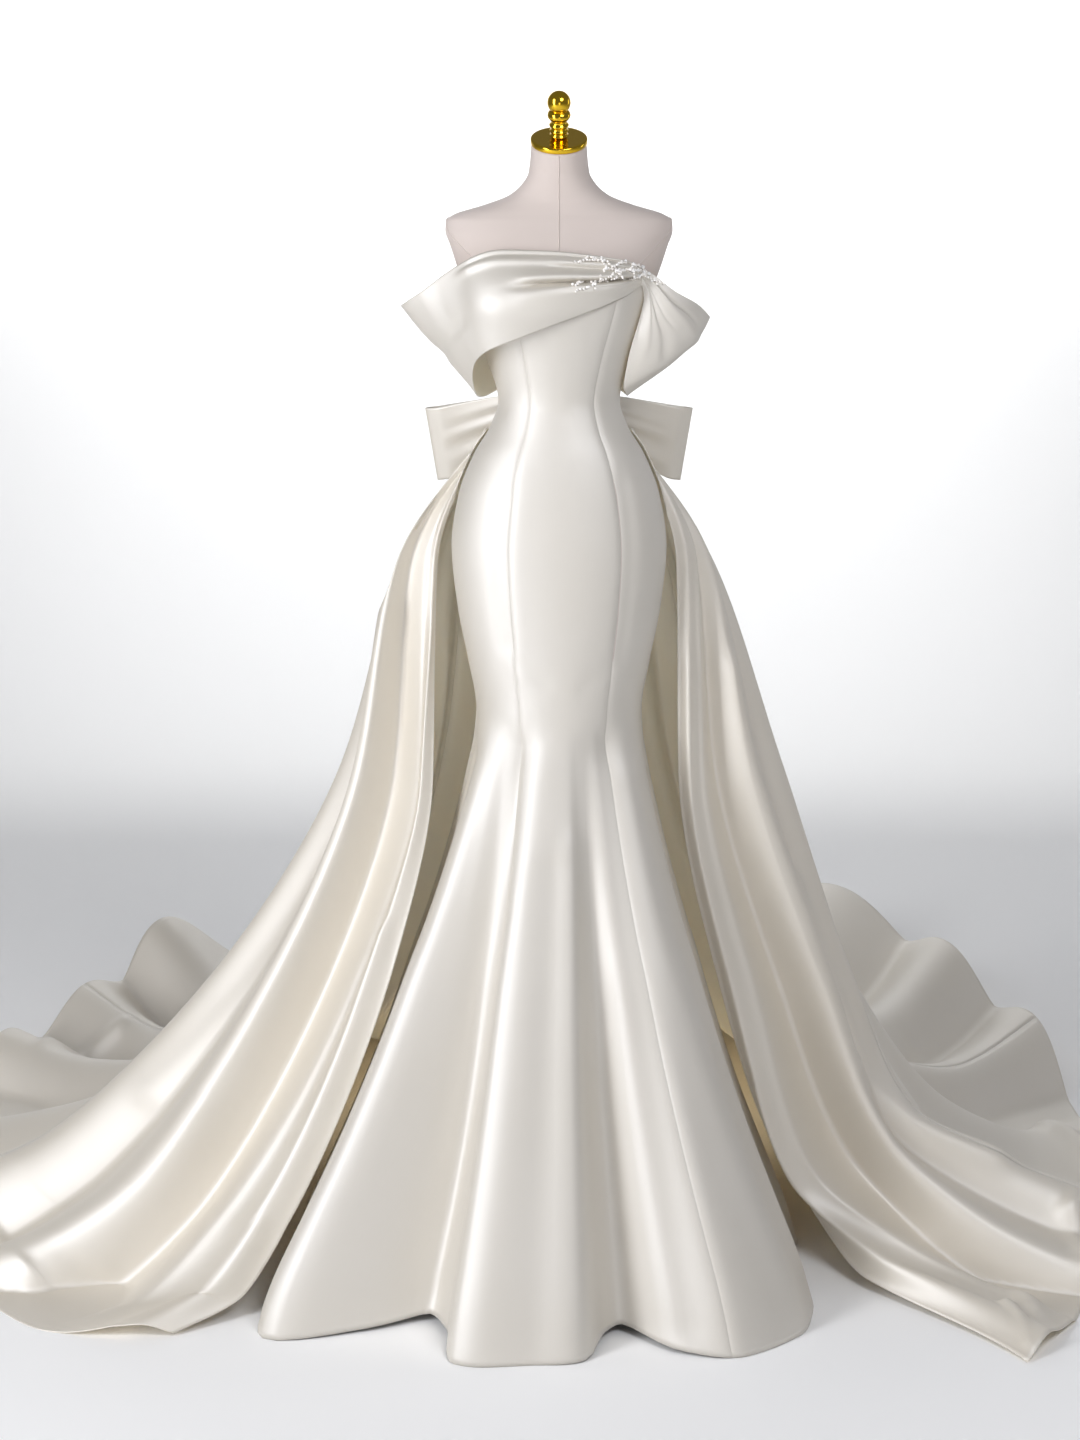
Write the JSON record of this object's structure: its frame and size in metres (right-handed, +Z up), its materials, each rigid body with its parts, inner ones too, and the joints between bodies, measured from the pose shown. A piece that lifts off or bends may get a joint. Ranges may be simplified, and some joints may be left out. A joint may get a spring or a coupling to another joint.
{
  "type": "wedding dress on a dress form",
  "caption": "Off-the-shoulder mermaid wedding dress with a draped neckline, a back bow and a long overskirt train, standing on a limbless dress form.",
  "frame": {"origin": "on the floor under the middle of the dress form's round base", "axes": "+Z up, the front of the dress faces -Y, +X on the right of someone who looks at the front"},
  "size_m": [2.2974, 2.292, 1.9681],
  "materials": {
    "satin": "ivory duchess satin, heavy, close woven, with a soft sheen",
    "form_cloth": "matt warm grey-white woven cover of the dress form",
    "gold": "polished and lacquered brass",
    "steel": "off-white powder coat"
  },
  "bodies": {
    "root": {"gown_front_centre": "satin", "gown_side_front_left": "satin", "gown_side_front_right": "satin", "gown_side_back_left": "satin", "gown_side_back_right": "satin", "gown_back_left": "satin", "gown_back_right": "satin", "overskirt_left_front": "satin", "overskirt_left_side": "satin", "overskirt_back_left": "satin", "overskirt_back_right": "satin", "overskirt_right_side": "satin", "overskirt_right_front": "satin", "drape_front_and_left_sleeve": "satin", "drape_right_sleeve": "satin", "bow_loop_left": "satin", "bow_loop_right": "satin", "bow_knot": "satin", "form_torso": "form_cloth", "form_neck_cap": "gold", "form_finial": "gold", "form_pole": "steel", "form_base": "steel"}
  },
  "joints": []
}
